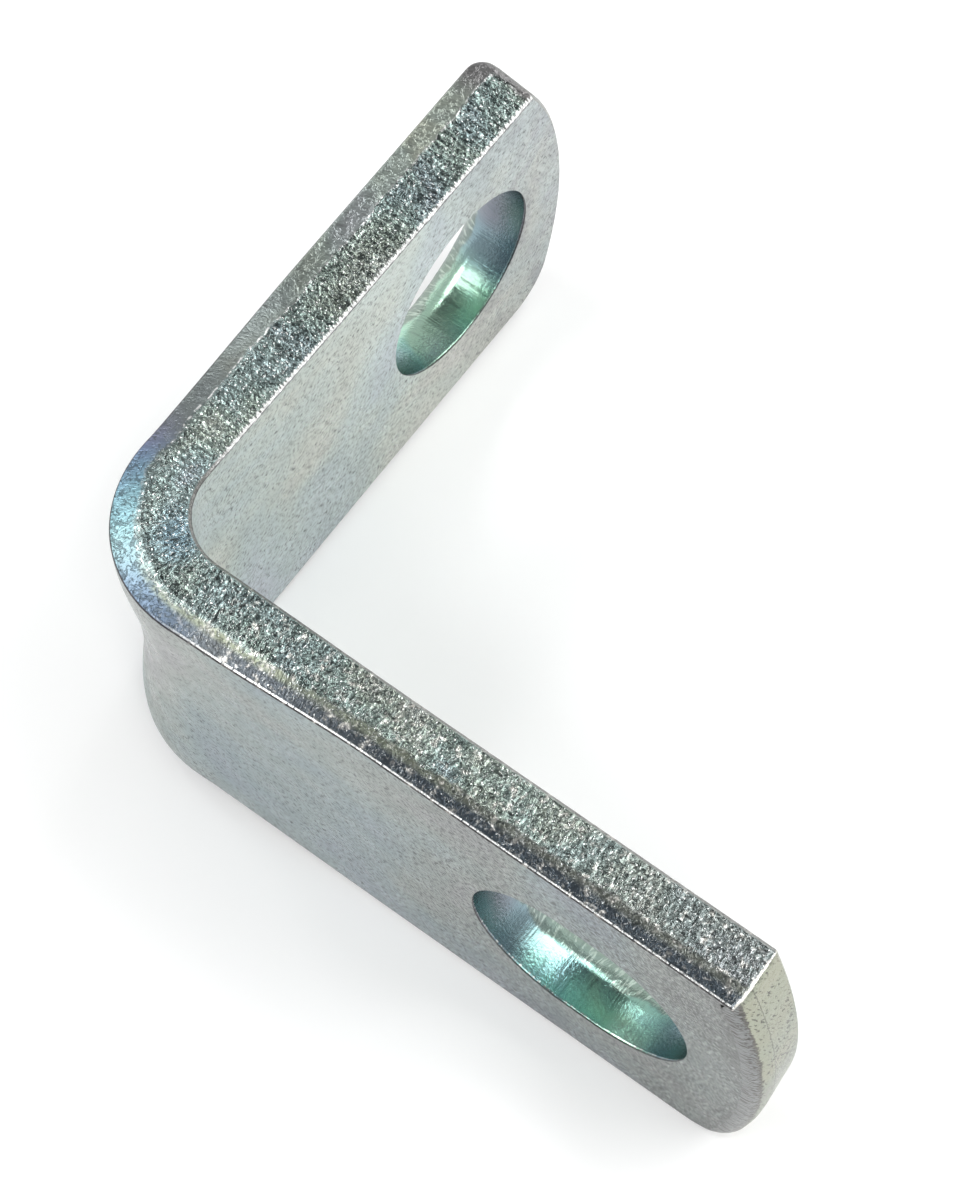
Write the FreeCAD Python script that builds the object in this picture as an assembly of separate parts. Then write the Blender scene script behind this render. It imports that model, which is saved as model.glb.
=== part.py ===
"""Zinc-plated steel angle bracket, bent from one sheared and punched flat blank.

The bracket stands on one long edge. The long leg runs along +X and the short leg along +Y, and the
strip's width is upright, along +Z. Both legs are worked out from the outer corner, where their outer
faces would meet, and the finished solid is then moved so that the middle of its footprint is the origin.

A point of a leg is given by its reach from the outer corner, its depth below the outer face and its
height. Sizes are in millimetres.
"""
import FreeCAD, Part
import os
from collections import namedtuple
from math import cos, pi, radians, sin, sqrt, tan

# Strip and legs
WIDTH = 25.0                 # width of the strip, upright as the bracket stands
THICKNESS = 4.5
LONG_LEG = 51.0              # from the short leg's outer face to the tip of the long leg
SHORT_LEG = 44.0             # from the long leg's outer face to the tip of the short leg
INNER_RADIUS = 4.0           # inside of the bend

# Rounded ends
LONG_END_RADIUS = 37.0
SHORT_END_RADIUS = 29.0
UPPER_CORNER_RADIUS = 0.15   # corner between an end and the upper long edge, on the inner face
LOWER_CORNER_RADIUS = 3.6    # corner between an end and the lower long edge, on the inner face

# Holes, both on the middle of the strip's width
HOLE_RADIUS = 6.75           # round hole of the short leg
HOLE_TO_TIP = 11.0           # from its centre to the leg's tip
SLOT_WIDTH = 13.5            # slot of the long leg
SLOT_LENGTH = 15.5
SLOT_TO_TIP = 13.0           # from its centre to the leg's tip
PUNCH_ROUNDING = 0.35        # eased mouth where the punch went in
BREAKOUT_DEPTH = 2.0         # part of the wall that broke away where the slug left
BREAKOUT_FLARE = 0.8         # how much wider the hole is there

# Sheared edge, from the outer face to the inner face
ROLL_RADIUS = 0.35           # rounding of the outer face's edge
SMOOTH_BAND = 1.5            # depth of the smooth, cut band
BREAK_FALL = 0.25            # how far the broken band falls in towards the inner face
BURR_BEVEL = 0.2             # small bevel at the inner face

# Saddle that the bend forces on the strip
LIP_ANGLE = 20.0             # how far the outer lips turn outwards, in degrees
LIP_HEIGHT = 4.0             # height of the turned part of the outer face
LIP_DROP = 1.0               # how far the strip narrows at its outer face
FACE_HOLLOW = 0.3            # how far the outer face sinks between the lips
RIDGE_DROP = 0.3             # how far the ridge between the two bands drops
INNER_SWELL = 0.25           # how far the strip widens at its inner face
SADDLE_RUN = 15.0            # length over which the saddle dies out in each leg
RUN_STEPS = 5                # lengths that each of these runs is lofted in

TINY = 1e-4                  # two places closer than this are the same

MIDDLE = WIDTH / 2
OUTER_RADIUS = INNER_RADIUS + THICKNESS
EDGE_FALL = BREAK_FALL + BURR_BEVEL
LEG_START = OUTER_RADIUS + SADDLE_RUN

Leg = namedtuple("Leg", "place reach end_radius cut_reach cut_straight cut_radius punched_outside")


def on_long_leg(reach, depth, height):
    return FreeCAD.Vector(reach, depth, height)


def on_short_leg(reach, depth, height):
    return FreeCAD.Vector(depth, reach, height)


def reach_and_depth(leg, point):
    """A point's reach along the leg and its depth below the outer face."""
    return (point.x, point.y) if leg.place is on_long_leg else (point.y, point.x)


def direction(along, up):
    """Angle in radians above the leg's own direction."""
    return FreeCAD.Vector(1, 0, 0).getAngle(FreeCAD.Vector(along, up, 0))


def arc(place, depth, centre, radius, start, stop):
    """Arc in a leg's plane about centre, between two directions given in radians."""
    points = []
    for angle in (start, (start + stop) / 2, stop):
        points.append(place(centre[0] + radius * cos(angle), depth, centre[1] + radius * sin(angle)))
    return Part.Arc(*points).toShape()


def corner_centre(leg, radius):
    """Centre of the arc between a long edge and the end arc, measured from the end arc's centre."""
    aside = MIDDLE - radius
    along = sqrt((leg.end_radius - radius) ** 2 - aside ** 2)
    return along, aside


def outline(leg, inset, depth):
    """Edge of a leg at one depth, drawn in by inset from the widest outline."""
    place = leg.place
    end_centre = leg.reach - leg.end_radius
    low_radius = LOWER_CORNER_RADIUS + EDGE_FALL
    high_radius = UPPER_CORNER_RADIUS + EDGE_FALL
    low_along, low_aside = corner_centre(leg, low_radius)
    high_along, high_aside = corner_centre(leg, high_radius)
    low_angle = -direction(low_along, low_aside)
    high_angle = direction(high_along, high_aside)
    low = (end_centre + low_along, MIDDLE - low_aside)
    high = (end_centre + high_along, MIDDLE + high_aside)
    edges = [
        Part.makeLine(place(LEG_START, depth, inset), place(low[0], depth, inset)),
        arc(place, depth, low, low_radius - inset, -pi / 2, low_angle),
        arc(place, depth, (end_centre, MIDDLE), leg.end_radius - inset, low_angle, high_angle),
        arc(place, depth, high, high_radius - inset, high_angle, pi / 2),
        Part.makeLine(place(high[0], depth, WIDTH - inset), place(LEG_START, depth, WIDTH - inset)),
        Part.makeLine(place(LEG_START, depth, WIDTH - inset), place(LEG_START, depth, inset)),
    ]
    return Part.Wire(edges)


def roll_edges(leg, solid):
    """Edges of the outer face that the shear rolled over: all but the one at the bend."""
    chosen = []
    for edge in solid.Edges:
        reach, depth = reach_and_depth(leg, edge.valueAt((edge.FirstParameter + edge.LastParameter) / 2))
        if abs(depth) < TINY and reach > LEG_START + TINY:
            chosen.append(edge)
    return chosen


def leg_solid(leg):
    """Flat end of one leg: smooth band, broken band and burr bevel in layers."""
    inward = leg.place(0, SMOOTH_BAND, 0)
    smooth = Part.Face(outline(leg, 0.0, 0.0)).extrude(inward)
    smooth = smooth.makeFillet(ROLL_RADIUS, roll_edges(leg, smooth))
    bevel_depth = THICKNESS - BURR_BEVEL
    broken = Part.makeLoft([outline(leg, 0.0, SMOOTH_BAND), outline(leg, BREAK_FALL, bevel_depth)], True, True)
    bevel = Part.makeLoft([outline(leg, BREAK_FALL, bevel_depth), outline(leg, EDGE_FALL, THICKNESS)], True, True)
    return smooth.fuse([broken, bevel]).removeSplitter()


def cut_outline(leg, radius, depth):
    """Round or slotted outline about the leg's hole centre."""
    place = leg.place
    half = leg.cut_straight / 2
    near, far = leg.cut_reach - half, leg.cut_reach + half
    low, high = MIDDLE - radius, MIDDLE + radius
    far_arc = arc(place, depth, (far, MIDDLE), radius, -pi / 2, pi / 2)
    near_arc = arc(place, depth, (near, MIDDLE), radius, pi / 2, 3 * pi / 2)
    if half == 0:
        return Part.Wire([far_arc, near_arc])
    top = Part.makeLine(place(far, depth, high), place(near, depth, high))
    bottom = Part.makeLine(place(near, depth, low), place(far, depth, low))
    return Part.Wire([far_arc, top, near_arc, bottom])


def punched_hole(leg):
    """Space of the hole: an eased mouth on the punch's side, a straight wall, then the flare."""
    entry, inward = (0.0, 1) if leg.punched_outside else (THICKNESS, -1)
    eased = PUNCH_ROUNDING * (1 - cos(pi / 4))
    steps = [
        (0.0, PUNCH_ROUNDING),
        (eased, eased),
        (PUNCH_ROUNDING, 0.0),
        (THICKNESS - BREAKOUT_DEPTH, 0.0),
        (THICKNESS, BREAKOUT_FLARE),
    ]
    outlines = [cut_outline(leg, leg.cut_radius + wider, entry + inward * depth) for depth, wider in steps]
    return Part.makeLoft(outlines, True, True)


def section(saddle, place):
    """Cross-section of the strip where the saddle has grown to a share of its full size.

    place turns a depth and a height into a point in space.
    """
    turn = radians(LIP_ANGLE) * saddle
    rolled_top = WIDTH - LIP_DROP * saddle
    centre_height = rolled_top - ROLL_RADIUS * cos(turn)
    lip_height = centre_height - ROLL_RADIUS * sin(turn)
    face = FACE_HOLLOW * saddle
    lip = face - LIP_HEIGHT / 2 * tan(turn)
    centre = lip + ROLL_RADIUS * cos(turn)
    bevel_depth = THICKNESS - BURR_BEVEL
    inner_top = WIDTH - BREAK_FALL + INNER_SWELL * saddle
    inner = (THICKNESS, inner_top - BURR_BEVEL)
    bevel = (bevel_depth, inner_top)
    ridge = (SMOOTH_BAND, WIDTH - RIDGE_DROP * saddle)
    rolled = (centre - ROLL_RADIUS * sin(turn), rolled_top)
    half_way = turn + pi / 4
    rolling = (centre - ROLL_RADIUS * sin(half_way), centre_height + ROLL_RADIUS * cos(half_way))
    lip_end = (lip, lip_height)
    lip_control = (face, lip_height - LIP_HEIGHT / 2)
    lip_start = (face, lip_height - LIP_HEIGHT)

    def upper(point):
        return place(point[0], point[1])

    def lower(point):
        return place(point[0], WIDTH - point[1])

    def turned(side, points):
        curve = Part.BezierCurve()
        curve.setPoles([side(point) for point in points])
        return curve.toShape()

    edges = [
        Part.makeLine(lower(lip_start), upper(lip_start)),
        turned(upper, [lip_start, lip_control, lip_end]),
        Part.Arc(upper(lip_end), upper(rolling), upper(rolled)).toShape(),
        Part.makeLine(upper(rolled), upper(ridge)),
        Part.makeLine(upper(ridge), upper(bevel)),
        Part.makeLine(upper(bevel), upper(inner)),
        Part.makeLine(upper(inner), lower(inner)),
        Part.makeLine(lower(inner), lower(bevel)),
        Part.makeLine(lower(bevel), lower(ridge)),
        Part.makeLine(lower(ridge), lower(rolled)),
        Part.Arc(lower(rolled), lower(rolling), lower(lip_end)).toShape(),
        turned(lower, [lip_end, lip_control, lip_start]),
    ]
    return Part.Wire(edges)


def bend_solid():
    """The bend itself: the section with its full saddle, turned about the centre of the bend."""
    centre = FreeCAD.Vector(OUTER_RADIUS, OUTER_RADIUS, 0)
    start = Part.Face(section(1.0, lambda depth, height: on_short_leg(OUTER_RADIUS, depth, height)))
    return start.revolve(centre, FreeCAD.Vector(0, 0, 1), 90)


def saddle_share(past):
    """Share of the full saddle at a distance past the end of the bend."""
    return (1 - (past / SADDLE_RUN) ** 2) ** 2


def run_solid(place):
    """Length of strip beside the bend, over which the saddle dies out."""
    wires = []
    for step in range(RUN_STEPS + 1):
        past = SADDLE_RUN * step / RUN_STEPS
        wires.append(section(saddle_share(past), lambda depth, height: place(OUTER_RADIUS + past, depth, height)))
    return Part.makeLoft(wires, True, False)


def bracket():
    long_leg = Leg(on_long_leg, LONG_LEG, LONG_END_RADIUS, LONG_LEG - SLOT_TO_TIP,
                   SLOT_LENGTH - SLOT_WIDTH, SLOT_WIDTH / 2, True)
    short_leg = Leg(on_short_leg, SHORT_LEG, SHORT_END_RADIUS, SHORT_LEG - HOLE_TO_TIP,
                    0.0, HOLE_RADIUS, False)
    solid = bend_solid()
    for leg in (long_leg, short_leg):
        solid = solid.fuse([run_solid(leg.place), leg_solid(leg)])
    for leg in (long_leg, short_leg):
        solid = solid.cut(punched_hole(leg))
    solid = solid.removeSplitter()
    box = solid.optimalBoundingBox(False, False)
    solid.translate(FreeCAD.Vector(-box.Center.x, -box.Center.y, -box.ZMin))
    return solid


os.makedirs("parts", exist_ok=True)
shape = bracket()
print("solids", len(shape.Solids), "valid", shape.isValid(), "volume", round(shape.Volume, 1),
      "faces", len(shape.Faces), "box", shape.optimalBoundingBox(False, False))
shape.exportStep("parts/angle_bracket.step")
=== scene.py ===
"""Finely modelled zinc-plated angle bracket on a plain pale floor.

The bracket is cut as a flat blank, with its rounded ends, hole and slot. Its rim is drawn down in rows from
the outer face to the inner one, which gives the rolled edge, the smooth band, the broken band and the burr.
The blank is then folded round the bend, with the saddle that folding forces on thick strip.

In the blank, x is the distance along the strip from the middle of the bend, y is the depth below the outer
face and z is the height. Lengths are in metres, patterns of the shape in millimetres and maps in centimetres.
"""
from math import asin, cos, exp, pi, radians, sin, sqrt

import bmesh
import bpy
from mathutils import Matrix, Quaternion, Vector, noise


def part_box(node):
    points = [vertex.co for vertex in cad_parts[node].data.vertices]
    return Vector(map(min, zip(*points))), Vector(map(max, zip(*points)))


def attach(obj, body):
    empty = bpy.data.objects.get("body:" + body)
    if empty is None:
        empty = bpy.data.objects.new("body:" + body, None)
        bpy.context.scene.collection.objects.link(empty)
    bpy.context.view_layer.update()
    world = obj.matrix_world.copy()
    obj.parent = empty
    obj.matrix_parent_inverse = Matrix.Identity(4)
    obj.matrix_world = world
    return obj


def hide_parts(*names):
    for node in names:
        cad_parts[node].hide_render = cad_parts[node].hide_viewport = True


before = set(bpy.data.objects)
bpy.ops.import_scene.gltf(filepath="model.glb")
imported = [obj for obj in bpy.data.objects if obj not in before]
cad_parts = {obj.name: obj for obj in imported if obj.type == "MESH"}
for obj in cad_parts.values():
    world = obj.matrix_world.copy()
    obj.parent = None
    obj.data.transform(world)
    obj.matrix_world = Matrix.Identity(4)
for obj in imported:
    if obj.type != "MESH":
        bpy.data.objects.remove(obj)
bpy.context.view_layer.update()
node_low, node_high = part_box("angle_bracket")

bl_info = {
    "name": "Angle bracket",
    "version": (1, 0, 0),
    "blender": (4, 5, 0),
    "location": "3D View > Sidebar > Bracket",
    "description": "Builds a bent, punched and zinc-plated angle bracket and its studio",
    "category": "Add Mesh",
}

MM, CM = 0.001, 0.01
FACE, OUTLINE, HOLE, SLOT = range(4)

# Powers of the curves that a hole's mouth and its flared wall follow
MOUTH_CURVE, FLARE_CURVE = 2, 1.8

# Lights: name, place, watts and side of the square
STUDIO_LIGHTS = (
    ("key_light", (0.55, 0.35, 0.72), 3.8, 0.65),
    ("left_light", (-0.66, -0.28, 0.70), 3.4, 0.45),
    ("back_light", (0.05, 0.76, 0.62), 2.2, 0.45),
    ("fill_light", (0.60, -0.48, 0.65), 1.8, 0.45),
    ("glint_left", (-0.45, 0.10, 0.58), 0.25, 0.09),
    ("glint_right", (0.25, 0.25, 0.70), 0.25, 0.09),
    ("glint_front", (-0.15, -0.32, 0.52), 0.35, 0.12),
)

# Shades of the sky, from the height of the floor to straight above
SKY = ((0.0, (1.0, 1.0, 1.0)), (0.58, (1.0, 1.0, 1.0)), (0.74, (0.85, 0.85, 0.83)),
       (0.86, (0.16, 0.17, 0.17)), (1.0, (0.04, 0.05, 0.06)))


def amount(name, description, default, **settings):
    return bpy.props.FloatProperty(name=name, description=description, default=default, **settings)


def length(name, description, default):
    return amount(name, description, default, unit="LENGTH", precision=5)


def triple(name, description, default, **settings):
    return bpy.props.FloatVectorProperty(name=name, description=description, default=default, **settings)


def colour(name, description, default):
    return triple(name, description, default, subtype="COLOR", min=0.0, max=1.0)


def position(name, description, default):
    return triple(name, description, default, subtype="TRANSLATION", unit="LENGTH")


class BracketSizes(bpy.types.PropertyGroup):
    width: length("Width", "Width of the strip, upright as the bracket stands", node_high.z - node_low.z)
    thickness: length("Thickness", "Thickness of the strip", 0.0045)
    long_leg: length("Long leg", "From the short leg's outer face to the long leg's tip", 0.051)
    short_leg: length("Short leg", "From the long leg's outer face to the short leg's tip", 0.044)
    inner_radius: length("Inner radius", "Inside radius of the bend", 0.004)
    long_end_radius: length("Long end radius", "Radius of the long leg's rounded end", 0.037)
    short_end_radius: length("Short end radius", "Radius of the short leg's rounded end", 0.029)
    upper_corner: length("Upper corner", "Radius of the corners at the upper edge", 0.0006)
    lower_corner: length("Lower corner", "Radius of the corners at the lower edge", 0.00405)
    hole_radius: length("Hole radius", "Radius of the hole and of the slot's ends", 0.00675)
    hole_to_tip: length("Hole to tip", "From the round hole's centre to the short leg's tip", 0.011)
    slot_straight: length("Slot straight", "Straight part of the slot", 0.002)
    slot_to_tip: length("Slot to tip", "From the slot's centre to the long leg's tip", 0.013)


class EdgeSizes(bpy.types.PropertyGroup):
    roll: length("Roll", "Radius of the edge that the shear rolled over", 0.00014)
    end_roll: length("End roll", "Radius of the same edge at the legs' ends", 0.0011)
    foot_roll: length("Foot roll", "Radius of the same edge where the bracket stands", 0.0005)
    end_run: length("End run", "How far the short leg's end roll reaches along its upper edge", 0.002)
    smooth: length("Smooth band", "Depth of the smooth band", 0.0015)
    fall: length("Fall", "How far the broken band falls in", 0.00025)
    burr: length("Burr", "Bevel at the inner face", 0.00025)
    mouth: length("Mouth", "How much wider the hole is where the punch went in", 0.00012)
    breakout: length("Breakout", "Depth of the part of the hole's wall that broke away", 0.0020)
    flare: length("Flare", "How much wider the hole is where its wall broke away", 0.0015)
    pitch: length("Pitch", "Size of the smallest faces on the rim", 0.00016)
    grain: length("Grain", "Depth of the grains in the broken band", 0.00006)


class SaddleSizes(bpy.types.PropertyGroup):
    run: length("Run", "Length over which the saddle dies out", 0.015)
    lip: length("Lip", "How far the outer face's lips turn outwards", 0.00073)
    lip_left: amount("Lip left", "Share of the lip that is left at the bend's ends", 0.65, min=0.0, max=1.0)
    lip_height: length("Lip height", "Height of the turned part of the outer face", 0.010)
    lip_drop: length("Lip drop", "How far the strip narrows at its outer face", 0.001)
    hollow: length("Hollow", "How far the outer face sinks between the lips", 0.00025)
    ridge_drop: length("Ridge drop", "How far the ridge between the bands drops", 0.0003)
    swell: length("Swell", "How far the strip widens at its inner face", 0.00025)
    ridge_shift: length("Ridge shift", "How much narrower the smooth band is in the bend", 0.0003)


class FinishColours(bpy.types.PropertyGroup):
    zinc: colour("Zinc", "Plated inner face", (0.575, 0.60, 0.58))
    # Painted shade: the outer faces get a darker copy of the zinc
    outer: colour("Outer zinc", "Plated outer face", (0.39, 0.425, 0.43))
    edge: colour("Edge", "Smooth band of the sheared edge", (0.50, 0.52, 0.47))
    broken: colour("Broken", "Broken band of the sheared edge", (0.36, 0.415, 0.39))
    end: colour("End", "End face of the long leg", (0.38, 0.39, 0.32))
    wall: colour("Wall", "Walls of the punched hole and slot", (0.43, 0.66, 0.58))
    # Painted shade: the darker colour of the walls' ends
    wall_end_shade: colour("Wall's ends", "Ends of those walls along the strip", (0.25, 0.235, 0.28))


class StudioSizes(bpy.types.PropertyGroup):
    floor_size: length("Floor", "Side of the floor", 4.0)
    floor: colour("Floor colour", "Colour of the floor", (0.96, 0.96, 0.96))
    floor_glow: amount("Floor glow", "Light that the floor adds of its own", 0.06, min=0.0)
    sky_strength: amount("Sky strength", "Strength of the light from the sky", 0.70, min=0.0)
    camera: position("Camera", "Camera's place, from the outer corner", (0.08616, -0.06540, 0.24582))
    look: position("Look at", "Where the camera looks, from the outer corner", (0.01867, 0.01603, 0.0125))
    roll: amount("Roll", "Camera's roll", radians(-3.033), unit="ROTATION")
    lens: amount("Lens", "Focal length in millimetres", 125.2)


def smoothstep(low, high, value):
    share = min(max((value - low) / (high - low), 0.0), 1.0)
    return share * share * (3 - 2 * share)


def wobble(along, across, seed):
    """Even noise between about -1 and 1, with cells one unit wide."""
    return noise.noise(Vector((along, across, seed))) * 1.6


def outer_corner(sizes):
    """Foot of the sharp corner that the outer faces of the two legs would meet in."""
    return Vector((node_high.x - sizes.long_leg, node_high.y - sizes.short_leg, 0))


# Flat blank

class Blank:
    """Flat blank of the bracket in a bmesh, with what the folding needs kept on its vertices."""

    def __init__(self, sizes, edge, saddle):
        self.sizes, self.edge, self.saddle = sizes, edge, saddle
        self.outer_radius = sizes.inner_radius + sizes.thickness
        self.half_bend = (sizes.inner_radius + sizes.thickness / 2) * pi / 4
        self.zone = self.half_bend + saddle.run
        self.middle = sizes.width / 2
        self.bm = bmesh.new()
        layers = self.bm.verts.layers
        self.out = layers.float_vector.new("out")
        self.along = layers.float.new("along")
        self.rim = layers.int.new("rim")
        self.endwise = layers.float.new("endwise")
        self.torn = layers.float.new("torn")
        self.outer = layers.float.new("outer")

    def along_strip(self, reach):
        """Distance along the strip for a reach from the outer corner."""
        return reach - self.outer_radius + self.half_bend

    def to_end(self, along, height):
        """Distance from a point of the short leg to that leg's rounded end."""
        radius = self.sizes.short_end_radius
        centre = self.along_strip(self.sizes.short_leg) - radius
        return centre + sqrt(radius ** 2 - (height - self.middle) ** 2) - abs(along)

    def bend_strip(self):
        """Plain strip that the bend and its saddle take up, with its rows closest near the two edges."""
        columns, rows = round(2 * self.zone / self.edge.pitch), 24
        made = bmesh.ops.create_grid(self.bm, x_segments=columns, y_segments=rows, size=1.0,
                                     matrix=Matrix.Rotation(pi / 2, 4, "X"))
        for vert in made["verts"]:
            height = 0.45 * vert.co.z + 0.55 * sin(vert.co.z * pi / 2)
            vert.co = (vert.co.x * self.zone, 0, self.middle * (1 + height))

    def turn(self, vert, centre, angle):
        """Arc drawn by turning a vertex about a centre in the blank's plane."""
        steps = max(3, round(abs(angle) * (vert.co - centre).length / self.edge.pitch))
        made = bmesh.ops.spin(self.bm, geom=[vert], cent=centre, axis=(0, 1, 0), angle=angle, steps=steps,
                              use_duplicate=False)
        return made["geom_last"][0]

    def run(self, vert, distance):
        """Straight line drawn by moving a vertex along the strip."""
        steps = max(3, round(abs(distance) / self.edge.pitch))
        made = bmesh.ops.spin(self.bm, geom=[vert], cent=vert.co, axis=(0, 1, 0), angle=0, steps=steps,
                              dvec=(distance / steps, 0, 0), use_duplicate=False)
        return made["geom_last"][0]

    def leg_end(self, side, leg, end_radius, cut_reach, cut_straight):
        """Outline and hole of one leg, filled to the strip of the bend. side is 1 or -1 along the strip."""
        bm, width = self.bm, self.sizes.width
        joint = side * self.zone
        end_centre = self.along_strip(leg) - end_radius
        corners = []
        for radius, up in ((self.sizes.upper_corner, 1), (self.sizes.lower_corner, -1)):
            aside = self.middle - radius
            reach = end_centre + sqrt((end_radius - radius) ** 2 - aside ** 2)
            angle = asin(aside / (end_radius - radius))
            corners.append((Vector((side * reach, 0, self.middle + up * aside)), angle))
        (high, high_angle), (low, low_angle) = corners
        vert = self.run(bm.verts.new((joint, 0, width)), high.x - joint)
        vert = self.turn(vert, high, side * (pi / 2 - high_angle))
        vert = self.turn(vert, Vector((side * end_centre, 0, self.middle)), side * (high_angle + low_angle))
        vert = self.turn(vert, low, side * (pi / 2 - low_angle))
        self.run(vert, joint - low.x)
        self.cut(Vector((side * self.along_strip(cut_reach), 0, self.middle)), cut_straight)
        bmesh.ops.remove_doubles(bm, verts=bm.verts[:], dist=self.edge.pitch / 20)
        at_joint = {vert for vert in bm.verts if abs(vert.co.x - joint) < self.edge.pitch / 20}
        edges = [edge for edge in bm.edges if not edge.link_faces or at_joint.issuperset(edge.verts)]
        bmesh.ops.triangle_fill(bm, edges=edges, use_beauty=True, normal=(0, -1, 0))

    def cut(self, centre, straight):
        """Round outline, drawn out into a slot where it has a straight part."""
        half, up = Vector((straight / 2, 0, 0)), Vector((0, 0, self.sizes.hole_radius))
        vert = self.bm.verts.new(centre + half + up)
        for end in (half, -half):
            vert = self.turn(vert, centre + end, pi)
            if straight:
                vert = self.run(vert, -2 * end.x)

    def mark_rims(self):
        """Keep on each rim vertex the way out of the metal, its place along the rim and which rim it is."""
        bm = self.bm
        waiting = {edge for edge in bm.edges if edge.is_boundary}
        rims = []
        while waiting:
            first = min(waiting, key=lambda edge: edge.index)
            waiting.discard(first)
            vert, chain = first.verts[1], [first]
            while True:
                following = next((edge for edge in vert.link_edges if edge in waiting), None)
                if following is None:
                    break
                waiting.discard(following)
                chain.append(following)
                vert = following.other_vert(vert)
            rims.append(chain)
        rims.sort(key=len, reverse=True)
        holes = sorted(rims[1:], key=lambda chain: chain[0].verts[0].co.x)
        marked = ((OUTLINE, rims[0]), (HOLE, holes[0]), (SLOT, holes[1]))
        for kind, chain in marked:
            travelled = 0.0
            for edge in chain:
                outward = self.outward(edge)
                for vert in edge.verts:
                    vert[self.out] = vert[self.out] + outward
                    vert[self.rim] = kind
                edge.verts[0][self.along] = travelled
                travelled += edge.calc_length()
        for vert in bm.verts:
            if vert[self.rim]:
                vert[self.out] = vert[self.out].normalized()
        return {kind: list(chain) for kind, chain in marked}

    @staticmethod
    def outward(edge):
        """Direction in the blank's plane from the one face beside a rim edge out of the metal."""
        run = (edge.verts[1].co - edge.verts[0].co).normalized()
        out = run.cross(Vector((0, 1, 0)))
        inside = edge.link_faces[0].calc_center_median() - edge.verts[0].co
        return -out if out.dot(inside) > 0 else out

    def rim_depths(self, kind):
        """Depths of the rows that a rim is drawn down in, from the outer face to the inner one."""
        edge, thick = self.edge, self.sizes.thickness
        if kind == OUTLINE:
            bevel = thick - edge.burr
            marks = [(edge.roll, 0), (edge.smooth, edge.pitch), (bevel, edge.pitch), (thick, edge.burr / 2)]
            depths = [edge.roll * (1 - cos(pi / 2 * step / 4)) for step in range(1, 5)]
        elif kind == SLOT:
            marks = [(0.0, 0), (thick - edge.breakout, edge.pitch * 1.3), (thick, edge.pitch)]
            depths = []
        else:
            return [thick - depth for depth in reversed(self.rim_depths(SLOT)[:-1])] + [thick]
        for (start, _), (stop, pitch) in zip(marks, marks[1:]):
            rows = max(1, round((stop - start) / pitch))
            depths += [start + (stop - start) * row / rows for row in range(1, rows + 1)]
        return depths

    def draw_down(self, rims):
        """Copy the outer face to the inner one and join their rims by rows of faces."""
        bm, thick = self.bm, self.sizes.thickness
        copy = bmesh.ops.duplicate(bm, geom=bm.verts[:] + bm.edges[:] + bm.faces[:])
        for item in copy["geom"]:
            if isinstance(item, bmesh.types.BMVert):
                item.co.y = thick
        for kind, edges in rims.items():
            for depth in self.rim_depths(kind):
                made = bmesh.ops.extrude_edge_only(bm, edges=edges)
                for item in made["geom"]:
                    if isinstance(item, bmesh.types.BMVert):
                        item.co.y = depth
                edges = [item for item in made["geom"] if isinstance(item, bmesh.types.BMEdge)
                         and all(abs(vert.co.y - depth) < thick * 1e-5 for vert in item.verts)]
        bmesh.ops.remove_doubles(bm, verts=bm.verts[:], dist=thick * 1e-4)
        bmesh.ops.recalc_face_normals(bm, faces=bm.faces[:])


# Surface of the rim

def rolled(roll, depth):
    """How far a rolled edge of this radius lies back at a depth."""
    return roll - sqrt(roll ** 2 - (roll - depth) ** 2) if depth < roll else 0.0


def rim_inset(blank, kind, depth, roll):
    """How far a rim lies back from its widest outline at a depth. roll is the outer edge's radius there."""
    edge, thick = blank.edge, blank.sizes.thickness
    if kind == OUTLINE:
        if depth < roll:
            return rolled(roll, depth)
        bevel = thick - edge.burr
        if depth > bevel:
            return edge.fall + depth - bevel
        return edge.fall * max(depth - edge.smooth, 0.0) / (bevel - edge.smooth)
    if kind == HOLE:
        depth = thick - depth
    leave = thick - edge.breakout
    if depth < leave:
        return edge.mouth * (1 - depth / leave) ** MOUTH_CURVE
    return edge.flare * ((depth - leave) / edge.breakout) ** FLARE_CURVE


def sheared_surface(blank, vert, endwise):
    """Height of the sheared edge above its smooth form, and how far it is torn, from 0 to 1.

    The place along the rim a, the depth d, the ridge and to_tip are in millimetres.
    """
    edge, thick = blank.edge, blank.sizes.thickness / MM
    along, depth, height = vert.co
    a, d = vert[blank.along] / MM, depth / MM
    share = saddle_share(blank, along)
    reach = smoothstep(0.0, blank.sizes.long_leg, along)
    ridge = (edge.smooth - share * blank.saddle.ridge_shift) / MM
    ridge += 0.14 * wobble(a * 0.45, 0, 3.1) + 0.09 * wobble(a * 2.2, 0, 8.3)
    torn = smoothstep(ridge - 0.12, ridge + 0.16, d)
    if along < 0:
        to_tip = blank.to_end(along, height) / MM
        torn *= smoothstep(0.45, 0.9, to_tip + 0.25 * wobble(a * 1.3, d * 1.3, 27.0))
    coarse = torn * (1 - 0.6 * smoothstep(thick - 0.12, thick, d))
    grains = abs(wobble(a * 2.9, d * 2.4, 1.7)) + 0.8 * wobble(a * 5.2, d * 3.9, 5.9)
    strokes = wobble(a * 3.6, d * 0.8, 12.4) * (1 - 0.7 * reach)
    pits = -1.2 * smoothstep(0.5, 0.9, wobble(a * 1.5, d * 1.2, 21.0))
    crest = (1 - 0.9 * share) * exp(-((d - ridge) / 0.12) ** 2)
    scratches = 0.12 * wobble(a * 4.0, d * 0.4, 30.0) * smoothstep(0.25, 0.5, d)
    specks = 0.5 * reach * (1 - torn) * wobble(a * 3.4, d * 3.4, 33.0) * smoothstep(0.1, 0.4, d)
    coarse *= (0.5 * grains + 0.7 * strokes + pits) * (0.7 + 0.5 * reach)
    return edge.grain * ((coarse + specks + 0.3 * crest) * (1 - 0.88 * endwise) + scratches), torn


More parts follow.
